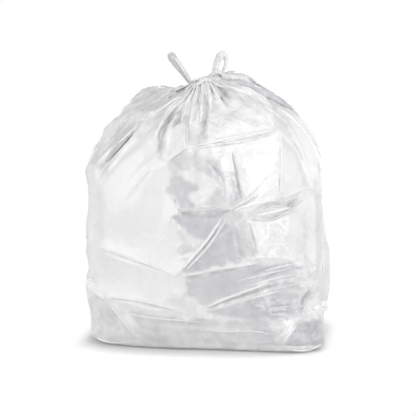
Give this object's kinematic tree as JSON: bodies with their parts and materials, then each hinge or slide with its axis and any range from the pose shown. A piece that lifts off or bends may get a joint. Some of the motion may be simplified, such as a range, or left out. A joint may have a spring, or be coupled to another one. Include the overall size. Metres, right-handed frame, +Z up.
{
  "type": "filled bin liner",
  "caption": "Full refuse sack of thin pale film, standing on its flat foot, gathered and knotted at the top, with ears of spare film above the knot.",
  "frame": {"origin": "centre of the flat foot, on the floor", "axes": "+X along the sack's width, to the right seen from the front; -Y towards the front; +Z up, towards the knot"},
  "size_m": [0.7009, 0.586, 0.8263],
  "materials": {
    "film": "glossy thin film, pale and slightly milky, with sharp creases"
  },
  "bodies": {
    "root": {"liner": "film"}
  },
  "joints": []
}
